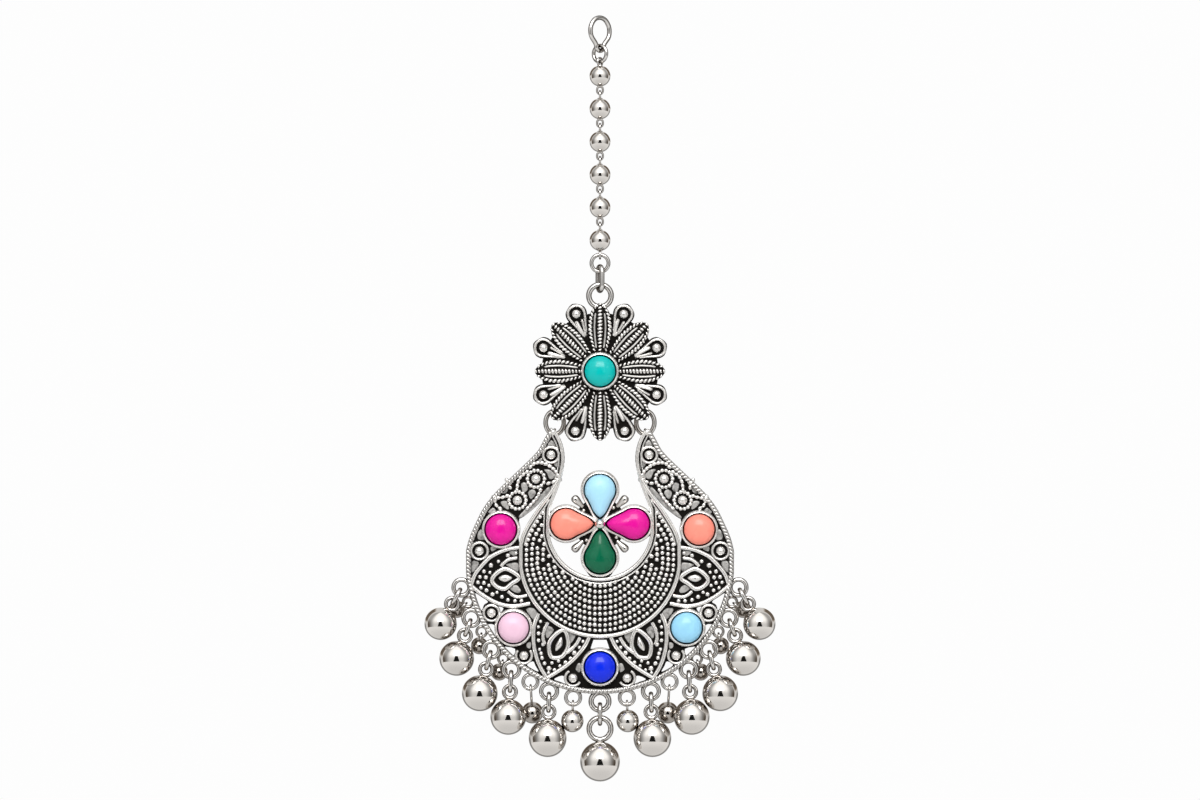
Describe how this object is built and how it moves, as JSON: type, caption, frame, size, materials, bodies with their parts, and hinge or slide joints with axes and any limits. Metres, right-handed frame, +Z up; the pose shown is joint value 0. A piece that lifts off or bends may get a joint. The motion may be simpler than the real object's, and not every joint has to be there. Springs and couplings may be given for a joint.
{
  "type": "maang tikka",
  "caption": "Forehead jewel: a hair hook and bead chain carry a petalled flower and a pierced, granulated crescent with cabochons and ball drops.",
  "frame": {"origin": "inner top of the hair hook, where the jewel hangs", "axes": "+Z up along the hanging jewel, X across it, the front with the stones faces -Y"},
  "size_m": [0.0526, 0.007, 0.1148],
  "materials": {
    "silver": "polished silver plate, warm neutral",
    "antique_silver": "silver plate blackened in its recesses and rubbed bright on its ridges",
    "turquoise": "opaque glossy cabochon",
    "magenta": "opaque glossy cabochon",
    "coral": "opaque glossy cabochon",
    "pale_pink": "opaque glossy cabochon",
    "sky_blue": "opaque glossy cabochon",
    "light_blue": "opaque glossy cabochon",
    "royal_blue": "opaque glossy cabochon",
    "green": "opaque glossy cabochon"
  },
  "bodies": {
    "chain": {"hook": "silver", "top_ring": "silver", "bead_1": "silver", "bead_2": "silver", "bead_3": "silver", "bead_4": "silver", "bead_5": "silver", "bead_6": "silver", "lower_ring": "silver", "oval_link": "silver"},
    "flower": {"flower_plate": "antique_silver", "stone_centre": "turquoise", "jump_ring_left": "silver", "jump_ring_right": "silver"},
    "crescent": {"crescent_frame": "antique_silver", "stone_upper_left": "magenta", "stone_upper_right": "coral", "stone_side_left": "pale_pink", "stone_side_right": "sky_blue", "stone_bottom": "royal_blue", "stone_pear_top": "light_blue", "stone_pear_left": "coral", "stone_pear_bottom": "green", "stone_pear_right": "magenta", "drop_link_1_left": "silver", "drop_link_1_right": "silver", "drop_link_2_left": "silver", "drop_link_2_right": "silver", "drop_link_3_left": "silver", "drop_link_3_right": "silver", "drop_link_4_left": "silver", "drop_link_4_right": "silver", "drop_link_5_left": "silver", "drop_link_5_right": "silver", "drop_ball_1_left": "silver", "drop_ball_1_right": "silver", "drop_ball_2_left": "silver", "drop_ball_2_right": "silver", "drop_ball_3_left": "silver", "drop_ball_3_right": "silver", "drop_ball_4_left": "silver", "drop_ball_4_right": "silver", "drop_ball_5_left": "silver", "drop_ball_5_right": "silver", "drop_link_centre": "silver", "drop_ball_centre": "silver", "small_drop_1_left": "silver", "small_drop_1_right": "silver", "small_drop_2_left": "silver", "small_drop_2_right": "silver"}
  },
  "joints": [
    {"name": "flower_swing", "type": "hinge", "parent": "chain", "child": "flower", "pos_m": [0, 0, -0.0397], "axis": [1, 0, 0], "range_deg": [-60, 60]},
    {"name": "crescent_swing", "type": "hinge", "parent": "flower", "child": "crescent", "pos_m": [0, 0.00097, -0.06214], "axis": [1, 0, 0], "range_deg": [-8, 60]}
  ]
}
